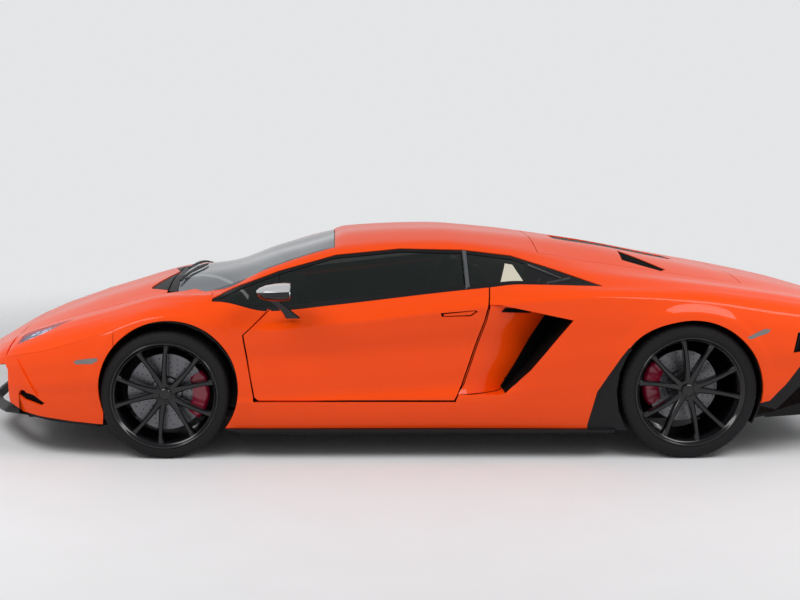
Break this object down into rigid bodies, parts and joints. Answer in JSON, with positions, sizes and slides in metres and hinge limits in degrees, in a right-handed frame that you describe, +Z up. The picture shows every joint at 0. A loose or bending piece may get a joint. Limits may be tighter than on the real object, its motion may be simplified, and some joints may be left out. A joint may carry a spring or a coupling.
{
  "type": "mid-engined sports car",
  "caption": "Low wedge-shaped two-seat mid-engined coupe with upward-swinging doors, hinged lids, steered front wheels and turning road wheels.",
  "frame": {"origin": "on the ground, under the middle of the car's length and width", "axes": "+X to the rear, +Y to the car's right, +Z up; the nose points along -X"},
  "size_m": [4.796, 2.264, 1.136],
  "materials": {
    "paint": "gloss orange paint with clear coat",
    "black_trim": "satin black",
    "gloss_black": "gloss black",
    "glass": "tinted",
    "lamp_glass": "clear lens over dark housing",
    "red_lens": "red lens",
    "tyre": "matte rubber",
    "structure": "carbon fibre and black sheet",
    "aluminium": "forged",
    "cast": "as cast",
    "caliper_red": "crimson paint",
    "leather": "black leather"
  },
  "bodies": {
    "body": {"front_bumper": "paint", "splitter": "black_trim", "headlamps": "lamp_glass", "fenders": "paint", "cowl": "black_trim", "windscreen": "glass", "roof": "paint", "fixed_glass": "glass", "quarters": "paint", "quarter_vents": "black_trim", "sills": "paint", "rear_deck": "paint", "rear_bumper": "paint", "tail_lamps": "red_lens", "diffuser": "black_trim", "tub": "structure", "wheel_liners": "black_trim", "front_radiators": "cast", "front_suspension": "aluminium", "rear_suspension": "aluminium", "rear_calipers": "caliper_red", "engine": "cast", "seats": "leather", "dashboard": "leather"},
    "door_left": {"door_left": "paint", "door_glass_left": "glass", "mirror_left": "gloss_black"},
    "knuckle_left": {"front_knuckle_left": "aluminium", "front_caliper_left": "caliper_red"},
    "front_wheel_left": {"tyre_front_left": "tyre", "wheel_front_left": "gloss_black"},
    "rear_wheel_left": {"tyre_rear_left": "tyre", "wheel_rear_left": "gloss_black"},
    "door_right": {"door_right": "paint", "door_glass_right": "glass", "mirror_right": "gloss_black"},
    "knuckle_right": {"front_knuckle_right": "aluminium", "front_caliper_right": "caliper_red"},
    "front_wheel_right": {"tyre_front_right": "tyre", "wheel_front_right": "gloss_black"},
    "rear_wheel_right": {"tyre_rear_right": "tyre", "wheel_rear_right": "gloss_black"},
    "front_lid": {"front_lid": "paint"},
    "engine_cover": {"engine_cover": "paint"},
    "steering_wheel": {"steering_wheel": "leather"}
  },
  "joints": [
    {"name": "steer_left", "type": "hinge", "parent": "body", "child": "knuckle_left", "pos_m": [-1.32, -0.8, 0.33], "axis": [0, 0, 1], "range_deg": [-27, 27]},
    {"name": "spin_front_left", "type": "hinge", "parent": "knuckle_left", "child": "front_wheel_left", "pos_m": [-1.32, -0.848, 0.33], "axis": [0, 1, 0], "continuous": true},
    {"name": "spin_rear_left", "type": "hinge", "parent": "body", "child": "rear_wheel_left", "pos_m": [1.38, -0.828, 0.355], "axis": [0, 1, 0], "continuous": true},
    {"name": "open_door_left", "type": "hinge", "parent": "body", "child": "door_left", "pos_m": [-0.77, -0.85, 0.86], "axis": [0, -0.9806, -0.1961], "range_deg": [0, 65]},
    {"name": "steer_right", "type": "hinge", "parent": "body", "child": "knuckle_right", "pos_m": [-1.32, 0.8, 0.33], "axis": [0, 0, 1], "range_deg": [-27, 27]},
    {"name": "spin_front_right", "type": "hinge", "parent": "knuckle_right", "child": "front_wheel_right", "pos_m": [-1.32, 0.848, 0.33], "axis": [0, 1, 0], "continuous": true},
    {"name": "spin_rear_right", "type": "hinge", "parent": "body", "child": "rear_wheel_right", "pos_m": [1.38, 0.828, 0.355], "axis": [0, 1, 0], "continuous": true},
    {"name": "open_door_right", "type": "hinge", "parent": "body", "child": "door_right", "pos_m": [-0.77, 0.85, 0.86], "axis": [0, -0.9806, 0.1961], "range_deg": [0, 65]},
    {"name": "open_front_lid", "type": "hinge", "parent": "body", "child": "front_lid", "pos_m": [-1.34, 0, 0.8528], "axis": [0, 1, 0], "range_deg": [0, 50]},
    {"name": "open_engine_cover", "type": "hinge", "parent": "body", "child": "engine_cover", "pos_m": [0.635, 0, 1.0881], "axis": [0, -1, 0], "range_deg": [0, 40]},
    {"name": "turn_steering_wheel", "type": "hinge", "parent": "body", "child": "steering_wheel", "pos_m": [-0.56, -0.36, 0.69], "axis": [0.9272, 0, 0.3746], "range_deg": [-351, 351]}
  ],
  "couplings": [
    {"joint": "steer_right", "follows": "steer_left", "ratio": 1},
    {"joint": "turn_steering_wheel", "follows": "steer_left", "ratio": 13}
  ]
}
